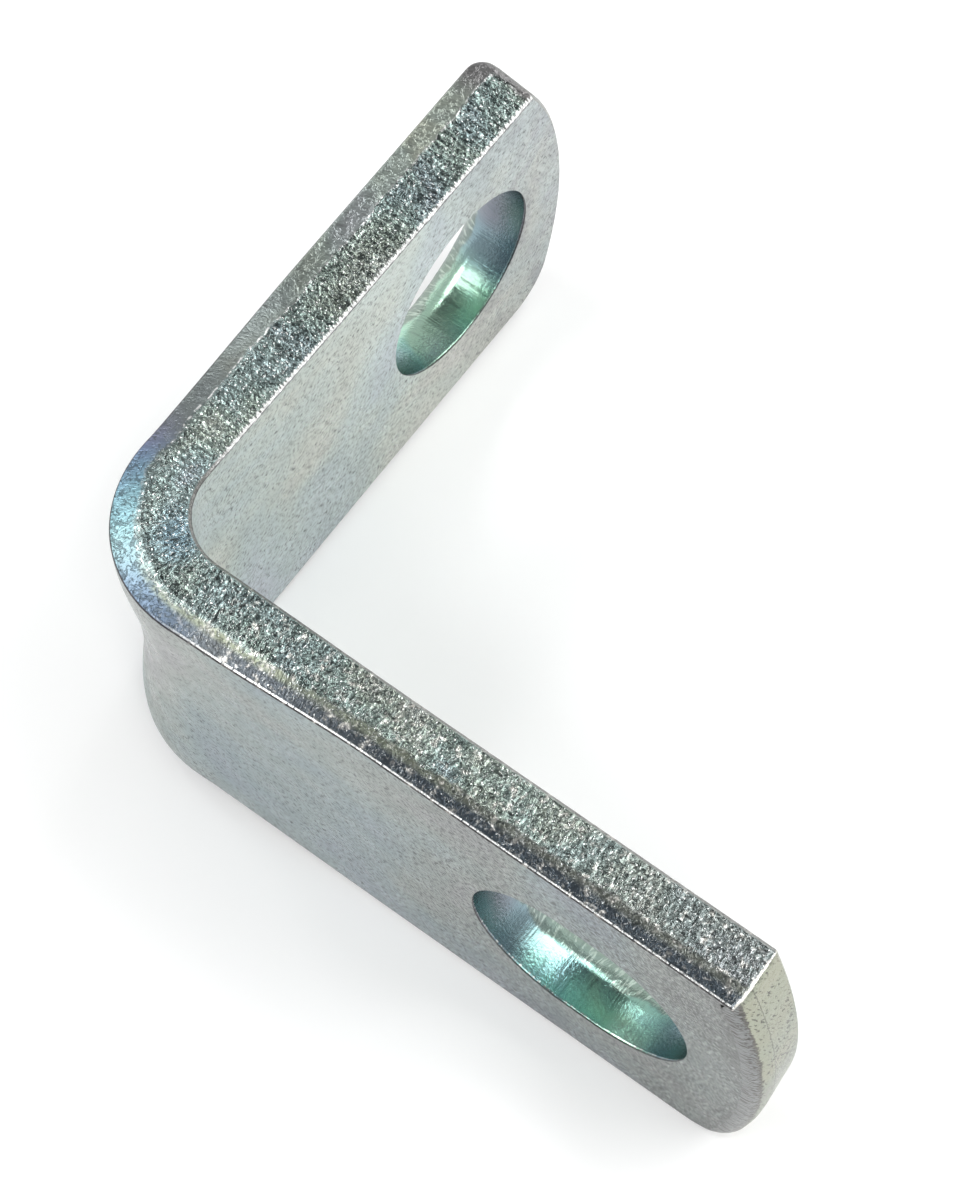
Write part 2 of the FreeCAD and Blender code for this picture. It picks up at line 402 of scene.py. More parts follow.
def punched_surface(blank, kind, along, depth):
    """The same for the wall of the hole or the slot, which is torn below the depth leave."""
    edge, thick = blank.edge, blank.sizes.thickness
    a, d = along / MM, depth / MM
    if kind == HOLE:
        d = thick / MM - d
    leave = (thick - edge.breakout) / MM + (1.0 if kind == HOLE else 0.25)
    leave += 0.25 * wobble(a * 0.5, 0, 41.0) + 0.15 * wobble(a * 2.0, 0, 45.0)
    torn = smoothstep(leave - 0.1, leave + 0.2, d)
    streaks = wobble(a * 3.2, d * 0.12, 50.0 + kind)
    grains = wobble(a * 3.0, d * 1.2, 60.0 + kind) + 0.6 * wobble(a * 5.0, d * 3.0, 70.0)
    return edge.grain * (0.12 * streaks * smoothstep(0.25, 0.6, d) + 0.7 * torn * grains), torn


# Bend and saddle

def saddle_share(blank, distance):
    """Share of the full saddle at a distance along the strip from the middle of the bend."""
    past = max(abs(distance) - blank.half_bend, 0.0) / blank.saddle.run
    return (1 - past ** 2) ** 2 if past < 1 else 0.0


def saddle_moves(blank, along, depth, height):
    """How far the saddle moves a point inwards through the thickness and towards the middle of the width."""
    share = saddle_share(blank, along)
    saddle, edge, thick = blank.saddle, blank.edge, blank.sizes.thickness
    if share == 0.0:
        return 0.0, 0.0
    aside = abs(height - blank.middle)
    bevel = thick - edge.burr
    drops = ((edge.roll, saddle.lip_drop), (edge.smooth, saddle.ridge_drop), (bevel, -saddle.swell))
    drop = drops[0][1]
    for (near, at_near), (far, at_far) in zip(drops, drops[1:]):
        if depth > near:
            drop = at_near + (at_far - at_near) * min((depth - near) / (far - near), 1.0)
    near_edge = smoothstep(0.45, 1.0, aside / blank.middle)
    lip_edge = blank.middle - saddle.lip_drop - edge.roll
    turned = max(aside - (lip_edge - saddle.lip_height), 0.0) / saddle.lip_height
    past_middle = smoothstep(0.0, 1.3 * blank.half_bend, abs(along))
    lip = saddle.lip * (1 - (1 - saddle.lip_left) * past_middle) * smoothstep(0.0, 1.0, turned)
    inwards = (saddle.hollow - lip) * max(1 - depth / edge.smooth, 0.0)
    return share * inwards, share * drop * near_edge


def fold(blank, along, depth, height):
    """Point of the folded bracket, measured from its outer corner, for a point of the flat blank."""
    past = abs(along) - blank.half_bend
    if past > 0:
        reach = blank.outer_radius + past
        return Vector((reach, depth, height)) if along > 0 else Vector((depth, reach, height))
    angle = pi * 1.25 + along / blank.half_bend * pi / 4
    centre, radius = blank.outer_radius, blank.outer_radius - depth
    return Vector((centre + radius * cos(angle), centre + radius * sin(angle), height))


def shape_rim(blank, vert):
    """Keep how far a rim vertex is torn and endwise, and give its true place along the strip and height."""
    along, depth, height = vert.co
    kind, out, edge = vert[blank.rim], vert[blank.out], blank.edge
    roll = edge.roll + (edge.foot_roll - edge.roll) * smoothstep(0.3, 0.9, -out.z)
    if kind == OUTLINE:
        endwise = smoothstep(0.3, 0.8, abs(out.x))
        rough, torn = sheared_surface(blank, vert, endwise)
        at_end = smoothstep(0.45, 1.0, abs(out.x))
        if along < 0 and height > blank.middle:
            at_end = max(at_end, 1 - smoothstep(0.0, edge.end_run, blank.to_end(along, height)))
        along += (1 if along < 0 else -1) * rolled(edge.end_roll, depth) * at_end
    else:
        endwise = abs(out.x)
        rough, torn = punched_surface(blank, kind, vert[blank.along], depth)
    vert[blank.endwise], vert[blank.torn] = endwise, torn
    move = rough - rim_inset(blank, kind, depth, roll)
    return along + out.x * move, height + out.z * move


def shape_and_fold(blank, corner):
    """Give the rims their true form and fold every vertex."""
    for vert in blank.bm.verts:
        along, depth, height = vert.co
        vert[blank.outer] = 1.0 - depth / blank.sizes.thickness
        if vert[blank.rim]:
            along, height = shape_rim(blank, vert)
        inwards, narrower = saddle_moves(blank, along, depth, height)
        height += narrower if height < blank.middle else -narrower
        vert.co = corner + fold(blank, along, depth + inwards, height)


# Materials

# Scale of the noise that stands for the plating's crystals
CRYSTALS = 5200.0

# Tints of the clear film over the zinc, from cloud to cloud
FILM_TINTS = ((0.25, (0.80, 0.74, 1.0)), (0.38, (0.72, 0.90, 1.0)), (0.50, (0.86, 1.0, 0.95)),
              (0.62, (1.0, 0.97, 0.82)), (0.75, (1.0, 0.84, 0.90)))

# Shades of the smooth band round the bend, from the short leg to the long one
RAINBOW = ((0.05, (0.30, 0.31, 0.30)), (0.18, (0.24, 0.235, 0.38)), (0.32, (0.21, 0.31, 0.45)),
           (0.46, (0.22, 0.39, 0.44)), (0.60, (0.20, 0.30, 0.30)), (0.72, (0.14, 0.19, 0.25)),
           (0.90, (0.09, 0.12, 0.17)))


class Shade:
    """Shades of the marks, clouds and lines in the plating, and of its painted highlights and shade."""
    # faces
    marbling = 0.26, 0.26, 0.29
    darker_end_rim = 0.17, 0.165, 0.16
    dull_end = 0.20, 0.20, 0.195
    fleck = 0.08, 0.085, 0.085
    # smooth band of the sheared edge
    stroke = 0.20, 0.21, 0.20
    # painted shade on the long leg's smooth band
    shaded_band = 0.09, 0.11, 0.13
    olive = 0.33, 0.37, 0.27
    dull_olive = 0.21, 0.225, 0.20
    squiggle = 0.04, 0.05, 0.055
    beside_bend = 0.10, 0.11, 0.12
    bend_mark = 0.07, 0.09, 0.10
    straw = 0.25, 0.275, 0.19
    # painted glints on the smooth band
    speck_glint = 0.80, 0.83, 0.83
    mauve = 0.24, 0.225, 0.235
    # broken band
    blue = 0.27, 0.43, 0.55
    grey_tip = 0.24, 0.245, 0.25
    # painted shade in the hollows of the broken band
    hollow = 0.12, 0.15, 0.145
    below_ridge = 0.11, 0.14, 0.145
    strand = 0.72, 0.78, 0.75
    glint = 0.97, 0.98, 0.97
    # lines along the edge
    # painted highlight along the ridge
    crest = 0.95, 0.96, 0.95
    bevel = 0.24, 0.245, 0.235
    lit_burr = 0.97, 0.98, 0.97
    burr_root = 0.10, 0.10, 0.10
    # painted highlight on the rolled outer edge
    painted_highlight_line = 0.96, 0.97, 0.96
    hairline = 0.07, 0.06, 0.06
    # painted shade along the foot where the bracket stands
    foot_shadow = 0.08, 0.075, 0.075
    # painted highlight where the long leg's upper edge turns down its end
    tip_highlight = 0.93, 0.90, 0.84
    # ends of the legs
    # painted shade on the short leg's end
    shaded_short_end = 0.26, 0.26, 0.25
    rolled_end = 0.225, 0.235, 0.235
    nick = 0.09, 0.085, 0.08
    frayed = 0.10, 0.09, 0.085
    # walls of the hole and the slot
    # painted shade towards the walls' ends
    slate_shade = 0.24, 0.34, 0.38
    torn_dark = 0.19, 0.23, 0.20
    torn_light = 0.46, 0.53, 0.47
    wall_stroke = 0.08, 0.11, 0.12
    mouth_line = 0.06, 0.055, 0.055
    # painted highlights on beads along the mouth
    mouth_bead_highlight = 0.95, 0.95, 0.93


class Tree:
    """Node tree that is filled one node at a time, from plain values and other nodes' outputs."""

    def __init__(self, tree):
        self.tree = tree

    def feed(self, socket, value):
        """Join another node's output to a socket, or set it to a value. Colours come without alpha."""
        if isinstance(value, bpy.types.NodeSocket):
            self.tree.links.new(value, socket)
        elif socket.type == "RGBA":
            socket.default_value = (*value, 1.0)
        else:
            socket.default_value = value

    def add(self, kind, ins=None, **settings):
        node = self.tree.nodes.new("ShaderNode" + kind)
        for name, value in settings.items():
            setattr(node, name, value)
        for name, value in (ins or {}).items():
            self.feed(node.inputs[name], value)
        return node

    def group(self, group, **ins):
        return self.add("Group", ins, node_tree=group).outputs

    def places(self):
        """Place on the object, and place on the map of the flat strip."""
        return self.add("TexCoord").outputs["Object"], self.add("UVMap", uv_map="strip").outputs[0]

    def parts(self, vector):
        return self.add("SeparateXYZ", {0: vector}).outputs

    def kept(self, name):
        return self.add("Attribute", attribute_name=name).outputs["Fac"]

    def maths(self, operation, *values):
        return self.add("Math", dict(enumerate(values)), operation=operation).outputs[0]

    def plus(self, base, value, factor):
        """The base plus the value times the factor."""
        return self.maths("MULTIPLY_ADD", value, factor, base)

    def times(self, product, *others):
        for other in others:
            product = self.maths("MULTIPLY", product, other)
        return product

    def rise(self, value, low, high, least=0.0, most=1.0):
        """Smooth rise between two values of the input."""
        ins = {"Value": value, "From Min": low, "From Max": high, "To Min": least, "To Max": most}
        return self.add("MapRange", ins, interpolation_type="SMOOTHSTEP").outputs[0]

    def fall(self, value, low, high, most=1.0):
        """Smooth fall to nothing between two values of the input."""
        return self.rise(value, low, high, most, 0.0)

    def line(self, value, middle, near, far, most=1.0):
        """Full where the value is nearer than near to the middle one, and nothing beyond far."""
        return self.fall(self.maths("ABSOLUTE", self.maths("SUBTRACT", value, middle)), near, far, most)

    def noise(self, vector, scale, detail=2.0, roughness=0.5, distortion=0.0):
        ins = {"Vector": vector, "Scale": scale, "Detail": detail, "Roughness": roughness,
               "Distortion": distortion}
        return self.add("TexNoise", ins).outputs["Fac"]

    def drawn(self, place, along, across, detail=2.0, roughness=0.5, distortion=0.0, lean=0.0,
              shift=(0, 0, 0)):
        """Noise drawn out by its scales along the strip and across it, after a turn of the map by lean."""
        if lean:
            place = self.add("Mapping", {"Vector": place, "Rotation": (0, 0, lean)}).outputs[0]
        ins = {"Vector": place, "Scale": (along, across, 1), "Location": shift}
        return self.noise(self.add("Mapping", ins).outputs[0], 1.0, detail, roughness, distortion)

    def apart(self, vector, point, keep):
        """Distance from a line through the point, along the axis whose share in keep is zero."""
        flat = self.add("VectorMath", {0: vector, 1: keep}, operation="MULTIPLY").outputs[0]
        return self.add("VectorMath", {0: flat, 1: point}, operation="DISTANCE").outputs["Value"]

    def mix(self, share, first, second, blend="MIX"):
        ins = {0: share, 6: first, 7: second}
        return self.add("Mix", ins, data_type="RGBA", blend_type=blend).outputs[2]

    def ramp(self, value, stops):
        node = self.add("ValToRGB", {"Fac": value})
        node.color_ramp.interpolation = "B_SPLINE"
        while len(node.color_ramp.elements) < len(stops):
            node.color_ramp.elements.new(0.5)
        for element, (place, shade) in zip(node.color_ramp.elements, stops):
            element.position = place
            element.color = (*shade, 1.0)
        return node.outputs["Color"]


def group_tree(name, ins, outs):
    """Empty node group with its sockets, as a Tree, the outputs of its start and the inputs of its end."""
    group = bpy.data.node_groups.new(name, "ShaderNodeTree")
    for way, sockets in (("INPUT", ins), ("OUTPUT", outs)):
        for label, kind in sockets.items():
            group.interface.new_socket(label, in_out=way, socket_type="NodeSocket" + kind)
    return Tree(group), group.nodes.new("NodeGroupInput").outputs, group.nodes.new("NodeGroupOutput").inputs


def passivate_group():
    """Thin clear film over the zinc: broad clouds of violet, blue, green and straw."""
    ins = {"Vector": "Vector", "Metal": "Color", "Strength": "Float", "Scale": "Float"}
    tree, start, end = group_tree("passivate_film", ins, {"Colour": "Color"})
    clouds = tree.noise(start["Vector"], start["Scale"], 3.0, 0.55, 0.6)
    filmed = tree.mix(1.0, start["Metal"], tree.ramp(clouds, FILM_TINTS), "MULTIPLY")
    tree.feed(end["Colour"], tree.mix(start["Strength"], start["Metal"], filmed))
    return tree.tree


def grain_group():
    """Fine crystals of the plating, as a height and as a mask of small dark marks."""
    ins = {"Vector": "Vector", "Scale": "Float", "Marks": "Float"}
    tree, start, end = group_tree("plating_grain", ins, {"Height": "Float", "Mark": "Float"})
    vector, scale = start["Vector"], start["Scale"]
    fine = tree.noise(vector, scale, 3.0, 0.6)
    broad = tree.noise(vector, tree.times(scale, 0.22), 2.0)
    tree.feed(end["Height"], tree.plus(fine, broad, 0.8))
    flat = tree.add("Mapping", {"Vector": vector, "Scale": (1.0, 1.0, 3.0)}).outputs[0]
    spots = tree.noise(flat, tree.times(scale, 0.28), 2.0, 0.6)
    tree.feed(end["Mark"], tree.times(tree.rise(spots, 0.60, 0.70), start["Marks"]))
    return tree.tree


def new_material(name, metallic, roughness):
    material = bpy.data.materials.new(name)
    material.use_nodes = True
    nodes = material.node_tree.nodes
    shader = next(node for node in nodes if node.type == "BSDF_PRINCIPLED")
    shader.inputs["Metallic"].default_value = metallic
    shader.inputs["Roughness"].default_value = roughness
    return material, Tree(material.node_tree), shader


def bump(tree, shader, height, strength, relief):
    made = tree.add("Bump", {"Height": height, "Strength": strength, "Distance": relief})
    tree.feed(shader.inputs["Normal"], made.outputs[0])


def zinc_face(colours, film, grain, sizes, corner):
    """Plated faces, marbled towards the short leg's end and flecked towards the long leg's."""
    material, tree, shader = new_material("zinc_face", 1.0, 0.3)
    spot, place = tree.places()
    x, y, _ = tree.parts(spot)
    to_long_end = tree.rise(x, corner.x + 0.010, node_high.x)
    to_short_end = tree.rise(y, corner.y + 0.028, node_high.y)
    # Painted shade: the outer faces take the darker copy of the zinc
    metal = tree.mix(tree.kept("outer"), colours.zinc, colours.outer)
    plating = tree.group(grain, Vector=spot, Scale=CRYSTALS, Marks=0.3)
    shade = tree.group(film, Vector=spot, Metal=metal, Strength=0.55, Scale=70.0)["Colour"]

    marbling = tree.rise(tree.noise(spot, 330.0, 4.0, 0.65, 1.2), 0.42, 0.66, 0.0, 0.4)
    marbling = tree.times(marbling, tree.plus(0.3, to_short_end, 0.7))
    shade = tree.mix(tree.plus(marbling, to_short_end, 0.34), shade, Shade.marbling)

    end_radius = sizes.long_end_radius
    end_middle = (node_high.x - end_radius, 0.0, sizes.width / 2)
    # Darker rim of the face along the long leg's rounded end
    end_rim = tree.apart(spot, end_middle, (1.0, 0.0, 1.0))
    end_rim = tree.plus(end_rim, tree.noise(spot, 900.0, 4.0, 0.6), 0.0036)
    end_rim = tree.rise(end_rim, end_radius - 0.0012, end_radius + 0.0016, 0.0, 0.75)
    shade = tree.mix(end_rim, shade, Shade.darker_end_rim)
    shade = tree.mix(tree.times(to_long_end, 0.18), shade, Shade.dull_end)

    flecks = tree.drawn(place, 26.0, 80.0, roughness=0.6, lean=0.45)
    flecks = tree.plus(flecks, tree.noise(spot, 120.0), 0.10)
    flecks = tree.rise(tree.plus(flecks, to_long_end, 0.095), 0.60, 0.655, 0.0, 0.85)
    shade = tree.mix(tree.maths("MAXIMUM", flecks, plating["Mark"]), shade, Shade.fleck)
    tree.feed(shader.inputs["Base Color"], shade)
    tree.feed(shader.inputs["Roughness"], tree.rise(tree.noise(spot, 420.0, 3.0), 0.3, 0.7, 0.24, 0.38))
    bump(tree, shader, tree.plus(plating["Height"], flecks, -1.0), 0.5, 0.00003)
    return material


class EdgePattern:
    """Zones of the sheared edge, with the places, masks and noises that they share.

    The map's u runs along the rim and its v is the depth below the outer face, both in centimetres, as are
    smooth and bevel. x and y are the distances along the legs from the outer corner, in metres.
    """

    def __init__(self, tree, film, edge, thick, corner):
        self.tree, self.film, self.corner = tree, film, corner
        self.smooth, self.bevel = edge.smooth / CM, (thick - edge.burr) / CM
        self.spot, self.place = tree.places()
        self.depth = tree.parts(self.place)["Y"]
        x, y, up = tree.parts(self.spot)
        self.x, self.y = tree.maths("SUBTRACT", x, corner.x), tree.maths("SUBTRACT", y, corner.y)
        self.torn, self.endwise = tree.kept("torn"), tree.kept("endwise")
        self.on_top = tree.rise(up, 0.010, 0.015)
        self.on_long_leg = tree.rise(self.x, 0.006, 0.014)
        self.on_short_leg = tree.rise(self.y, 0.008, 0.012)
        self.from_corner = tree.maths("ADD", self.x, self.y)
        strands = tree.line(tree.drawn(self.place, 24.0, 20.0, 1.0, 0.5, 1.4), 0.5, 0.006, 0.028)
        self.strands = tree.times(strands, tree.rise(tree.noise(self.place, 8.0), 0.44, 0.54))
        self.strokes = tree.drawn(self.place, 70.0, 10.0, 3.0, 0.6, lean=0.25)
        self.glints = tree.drawn(self.place, 62.0, 40.0, 2.0, 0.6, shift=(3, 5, 0))
        self.saw = tree.drawn(self.place, 45.0, 0.0, 3.0, 0.6)
        self.squiggles = tree.rise(tree.noise(self.spot, 2600.0, 2.0, 0.5, 1.5), 0.50, 0.62)

    def filmed(self, metal, strength, scale):
        ins = {"Vector": self.spot, "Metal": metal, "Strength": strength, "Scale": scale}
        return self.tree.group(self.film, **ins)["Colour"]

    def smooth_band(self, metal):
        """Pale on the short leg, coloured round the bend, and on the long leg darkened by painted shade, with
        an olive border.
        """
        tree, x = self.tree, self.x
        strokes = tree.rise(self.strokes, 0.48, 0.70, 0.0, 0.6)
        pale = tree.mix(strokes, self.filmed(metal, 0.6, 110.0), Shade.stroke)
        olive = tree.mix(tree.rise(x, 0.018, 0.034), Shade.olive, Shade.dull_olive)
        towards_ridge = tree.rise(tree.plus(self.depth, self.squiggles, 0.02), 0.075, 0.125)
        # Painted shade darkens the long leg's band, with an olive border towards the ridge
        dark = tree.mix(towards_ridge, Shade.shaded_band, olive)
        dark = tree.mix(tree.rise(self.squiggles, 0.3, 0.9, 0.0, 0.6), dark, Shade.squiggle)
        band = tree.mix(self.on_long_leg, pale, dark)
        band = tree.mix(tree.fall(self.from_corner, 0.013, 0.031, 0.72), band, Shade.beside_bend)
        band = tree.mix(tree.fall(self.from_corner, 0.0075, 0.0125), band, self.rainbow())
        streak = tree.times(tree.rise(x, 0.003, 0.007), tree.fall(x, 0.013, 0.020),
                            tree.rise(self.depth, 0.07, 0.11, 0.0, 0.7),
                            tree.rise(self.squiggles, 0.2, 0.9, 1.0, 0.3))
        band = tree.mix(streak, band, Shade.straw)
        # Painted glints: bright specks from the glints and strands on the long leg's band
        specks = tree.maths("MAXIMUM", tree.rise(self.glints, 0.64, 0.68), tree.times(self.strands, 0.4))
        band = tree.mix(tree.times(specks, self.on_long_leg), band, Shade.speck_glint)
        tip = node_high.y - self.corner.y
        at_short_end = tree.rise(self.y, tip - 0.0065, tip - 0.0040, 0.0, 0.85)
        return tree.mix(at_short_end, band, Shade.mauve)

    def rainbow(self):
        """Colours of the film, one after the other round the bend."""
        tree = self.tree
        round_bend = tree.maths("SUBTRACT", self.x, self.y)
        round_bend = tree.plus(round_bend, tree.noise(self.spot, 260.0, 3.0), 0.006)
        tints = tree.ramp(tree.plus(0.47, round_bend, 40.0), RAINBOW)
        return tree.mix(tree.times(self.squiggles, 0.6), tints, Shade.bend_mark)

    def broken_band(self, metal):
        """Grey-green metal with painted shade in its hollows, bright strands and glints, and a blue patch in
        the bend.
        """
        tree, corner = self.tree, self.corner
        in_bend = tree.apart(self.spot, (corner.x + 0.0055, corner.y + 0.0045, 0.0), (1.0, 1.0, 0.0))
        band = tree.mix(tree.fall(in_bend, 0.0004, 0.0026, 0.65), self.filmed(metal, 0.7, 150.0), Shade.blue)
        band = tree.mix(tree.rise(self.x, 0.030, node_high.x - corner.x, 0.0, 0.85), band, Shade.grey_tip)
        # Painted shade in the hollows
        hollow_shade = tree.fall(tree.drawn(self.place, 48.0, 22.0, 3.0, 0.65), 0.40, 0.60, 0.75)
        band = tree.mix(hollow_shade, band, Shade.hollow)
        below_ridge = tree.fall(self.depth, 0.15, 0.21, 0.65)
        below_ridge = tree.times(below_ridge, tree.fall(self.from_corner, 0.010, 0.017))
        band = tree.mix(below_ridge, band, Shade.below_ridge)
        band = tree.mix(tree.times(self.strands, 0.45), band, Shade.strand)
        return tree.mix(tree.rise(self.glints, 0.625, 0.665), band, Shade.glint)

    def crest(self):
        """Painted highlight: a broken bright line along the ridge between the two bands, brightest on the
        short leg.
        """
        tree = self.tree
        bead_highlights = tree.rise(tree.drawn(self.place, 34.0, 6.0), 0.46, 0.56)
        ridge = tree.line(self.torn, 0.4, 0.0, 0.35)
        return tree.times(ridge, bead_highlights, tree.plus(0.15, self.on_short_leg, 0.8))

    def add_lines(self, shade):
        """Add the bevel and lit burr at the inner face, and a painted highlight, hairline and painted foot
        shadow at the outer one.
        """
        tree, depth, bevel = self.tree, self.depth, self.bevel
        shade = tree.mix(tree.rise(depth, bevel + 0.003, bevel + 0.009), shade, Shade.bevel)
        burr = tree.rise(tree.plus(depth, self.saw, 0.10), bevel + 0.053, bevel + 0.060)
        shade = tree.mix(tree.times(self.on_short_leg, self.on_top, burr), shade, Shade.lit_burr)
        shade = tree.mix(tree.rise(depth, bevel + 0.018, bevel + 0.023, 0.0, 0.8), shade, Shade.burr_root)
        # Painted highlight: a bright line along the long leg's rolled outer edge
        joined = tree.rise(tree.drawn(self.place, 40.0, 0.0), 0.36, 0.46)
        painted_highlight_line = tree.times(self.on_long_leg, joined, tree.line(depth, 0.012, 0.003, 0.007))
        shade = tree.mix(painted_highlight_line, shade, Shade.painted_highlight_line)
        shade = tree.mix(tree.fall(depth, 0.004, 0.009, 0.85), shade, Shade.hairline)
        # Painted shade: a dark line along the foot, for the contact shadow where it stands on the floor
        foot_shadow = tree.times(tree.fall(depth, 0.02, 0.05, 0.75), tree.maths("SUBTRACT", 1.0, self.on_top))
        return tree.mix(foot_shadow, shade, Shade.foot_shadow)

    def leg_ends(self, metal):
        """End faces with dark flecks, and a mottled roll with a frayed border at the outer face."""
        tree, depth, place = self.tree, self.depth, self.place
        # Painted shade: the short leg's end takes a darker copy of the end metal
        ends = self.filmed(tree.mix(self.on_long_leg, Shade.shaded_short_end, metal), 0.35, 120.0)
        frayed = tree.drawn(place, 22.0, 22.0, 4.0, 0.6)
        rounded = tree.fall(tree.plus(depth, frayed, 0.08), 0.075, 0.105)
        nicks = tree.plus(tree.drawn(place, 30.0, 70.0, 2.0, 0.6, lean=0.7), depth, 1.2)
        mottled = tree.mix(tree.rise(nicks, 0.50, 0.64), Shade.rolled_end, Shade.nick)
        ends = tree.mix(rounded, ends, mottled)
        ends = tree.mix(tree.line(rounded, 0.5, 0.2, 0.5, 0.7), ends, Shade.frayed)
        flecks = tree.drawn(place, 17.0, 52.0, 3.0, 0.6, lean=0.5)
        flecks = tree.rise(tree.plus(flecks, tree.noise(self.spot, 300.0), 0.2), 0.67, 0.74, 0.0, 0.85)
        ridge = tree.line(depth, tree.plus(self.smooth, self.saw, 0.03), 0.002, 0.007, 0.6)
        return tree.mix(tree.maths("MAXIMUM", flecks, ridge), ends, Shade.nick)

    def tip_highlight(self):
        """Painted highlight: a ragged bright line where the long leg's upper edge turns down its end."""
        tree = self.tree
        ragged = tree.plus(self.endwise, tree.noise(self.spot, 1600.0, 3.0, 0.6), 0.9)
        return tree.times(self.on_long_leg, self.on_top, tree.line(ragged, 0.85, 0.12, 0.38, 0.95))


def sheared_edge(colours, film, grain, edge, thick, corner):
    """Sheared edge: smooth band, broken band and burr, and the ends of the legs."""
    material, tree, shader = new_material("sheared_edge", 1.0, 0.3)
    rim = EdgePattern(tree, film, edge, thick, corner)
    shade = tree.mix(rim.torn, rim.smooth_band(colours.edge), rim.broken_band(colours.broken))
    # Painted highlight along the ridge, then the lines along the edge
    shade = rim.add_lines(tree.mix(rim.crest(), shade, Shade.crest))
    shade = tree.mix(rim.endwise, shade, rim.leg_ends(colours.end))
    # Painted highlight at the long leg's tip
    shade = tree.mix(rim.tip_highlight(), shade, Shade.tip_highlight)
    tree.feed(shader.inputs["Base Color"], shade)
    tree.feed(shader.inputs["Roughness"], tree.plus(0.30, rim.torn, -0.08))
    plating = tree.group(grain, Vector=rim.spot, Scale=CRYSTALS)
    height = tree.plus(plating["Height"], rim.strokes, 1.4)
    bump(tree, shader, tree.plus(height, rim.squiggles, -0.8), 0.5, 0.00004)
    return material


def punched_wall(colours, film, grain):
    """Walls of the hole and the slot, with painted shade darkening their ends along the strip.

    The map's v is the depth from the mouth, in centimetres.
    """
    material, tree, shader = new_material("punched_wall", 1.0, 0.2)
    spot, place = tree.places()
    shade = tree.group(film, Vector=spot, Metal=colours.wall, Strength=0.9, Scale=140.0)["Colour"]
    endwise = tree.plus(tree.kept("endwise"), tree.noise(spot, 260.0, 3.0), 0.16)
    # Painted shade: slate, then darker still, towards the walls' ends along the strip
    shade = tree.mix(tree.rise(endwise, 0.50, 0.82), shade, Shade.slate_shade)
    shade = tree.mix(tree.rise(endwise, 0.86, 1.02, 0.0, 0.7), shade, colours.wall_end_shade)
    torn = tree.rise(tree.drawn(place, 42.0, 7.0, 2.0, 0.6), 0.52, 0.62)
    torn = tree.mix(torn, Shade.torn_dark, Shade.torn_light)
    shade = tree.mix(tree.times(tree.kept("torn"), 0.8), shade, torn)
    strokes = tree.drawn(place, 55.0, 3.0, 3.0, 0.6)
    shade = tree.mix(tree.rise(strokes, 0.50, 0.70, 0.0, 0.28), shade, Shade.wall_stroke)
    teeth = tree.drawn(place, 40.0, 0.0, 3.0, 0.6)
    from_mouth = tree.plus(tree.parts(place)["Y"], teeth, -0.03)
    mouth_line = tree.fall(from_mouth, -0.008, 0.002, 0.9)
    shade = tree.mix(mouth_line, shade, Shade.mouth_line)
    # Painted highlights: bright beads along the mouth at the outer face
    bead_highlights = tree.maths("SUBTRACT", tree.fall(from_mouth, 0.002, 0.008), mouth_line)
    bead_highlights = tree.times(bead_highlights, tree.rise(teeth, 0.50, 0.56), tree.kept("outer"))
    shade = tree.mix(bead_highlights, shade, Shade.mouth_bead_highlight)
    tree.feed(shader.inputs["Base Color"], shade)
    height = tree.plus(tree.group(grain, Vector=spot, Scale=CRYSTALS)["Height"], strokes, 1.2)
    bump(tree, shader, height, 0.45, 0.00004)
    return material


# Operators

class BRACKET_OT_strip(bpy.types.Operator):
    """Build the bent and punched strip that is the whole bracket"""
    bl_idname = "bracket.strip"
    bl_label = "Angle bracket"
    bl_options = {"REGISTER", "UNDO"}

    def execute(self, context):
        scene = context.scene
        sizes, edge, saddle = scene.bracket_sizes, scene.bracket_edge, scene.bracket_saddle
        blank = Blank(sizes, edge, saddle)
        blank.bend_strip()
        slot_centre = sizes.long_leg - sizes.slot_to_tip
        hole_centre = sizes.short_leg - sizes.hole_to_tip
        blank.leg_end(1, sizes.long_leg, sizes.long_end_radius, slot_centre, sizes.slot_straight)
        blank.leg_end(-1, sizes.short_leg, sizes.short_end_radius, hole_centre, 0.0)
        blank.bm.edges.index_update()
        blank.draw_down(blank.mark_rims())
        blank.bm.verts.index_update()
        self.dress(blank)
        corner = outer_corner(sizes)
        shape_and_fold(blank, corner)
        mesh = bpy.data.meshes.new("bent_strip")
        blank.bm.to_mesh(mesh)
        blank.bm.free()
        piece = bpy.data.objects.new("bent_strip", mesh)
        context.collection.objects.link(piece)
        colours = scene.bracket_colours
        film, grain = passivate_group(), grain_group()
        mesh.materials.append(zinc_face(colours, film, grain, sizes, corner))
        mesh.materials.append(sheared_edge(colours, film, grain, edge, sizes.thickness, corner))
        mesh.materials.append(punched_wall(colours, film, grain))
        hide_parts("angle_bracket")
        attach(piece, "root")
        return {"FINISHED"}

    def dress(self, blank):
        """Material, shading and map of each face, while the blank is still flat."""
        bm = blank.bm
        strip_map = bm.loops.layers.uv.new("strip")
        thick = blank.sizes.thickness
        for face in bm.faces:
            depths = [vert.co.y for vert in face.verts]
            on_rim = max(depths) - min(depths) > thick * 1e-3
            kind = max(vert[blank.rim] for vert in face.verts) if on_rim else FACE
            middle = face.calc_center_median()
            face.material_index = {FACE: 0, OUTLINE: 1}.get(kind, 2)
            if kind == OUTLINE:
                at_end = abs(sum(vert[blank.out].x for vert in face.verts)) > 2
                face.smooth = middle.y < blank.edge.smooth or at_end
            elif kind == FACE:
                face.smooth = abs(middle.x) < blank.zone
            else:
                face.smooth = True
            low = min(loop.vert[blank.along] for loop in face.loops)
            for loop in face.loops:
                vert = loop.vert
                if kind == FACE:
                    loop[strip_map].uv = (vert.co.x / CM, vert.co.z / CM)
                else:
                    along = vert[blank.along]
                    if along - low > thick:
                        along = low - blank.edge.pitch
                    depth = thick - vert.co.y if kind == HOLE else vert.co.y
                    loop[strip_map].uv = (along / CM, depth / CM)


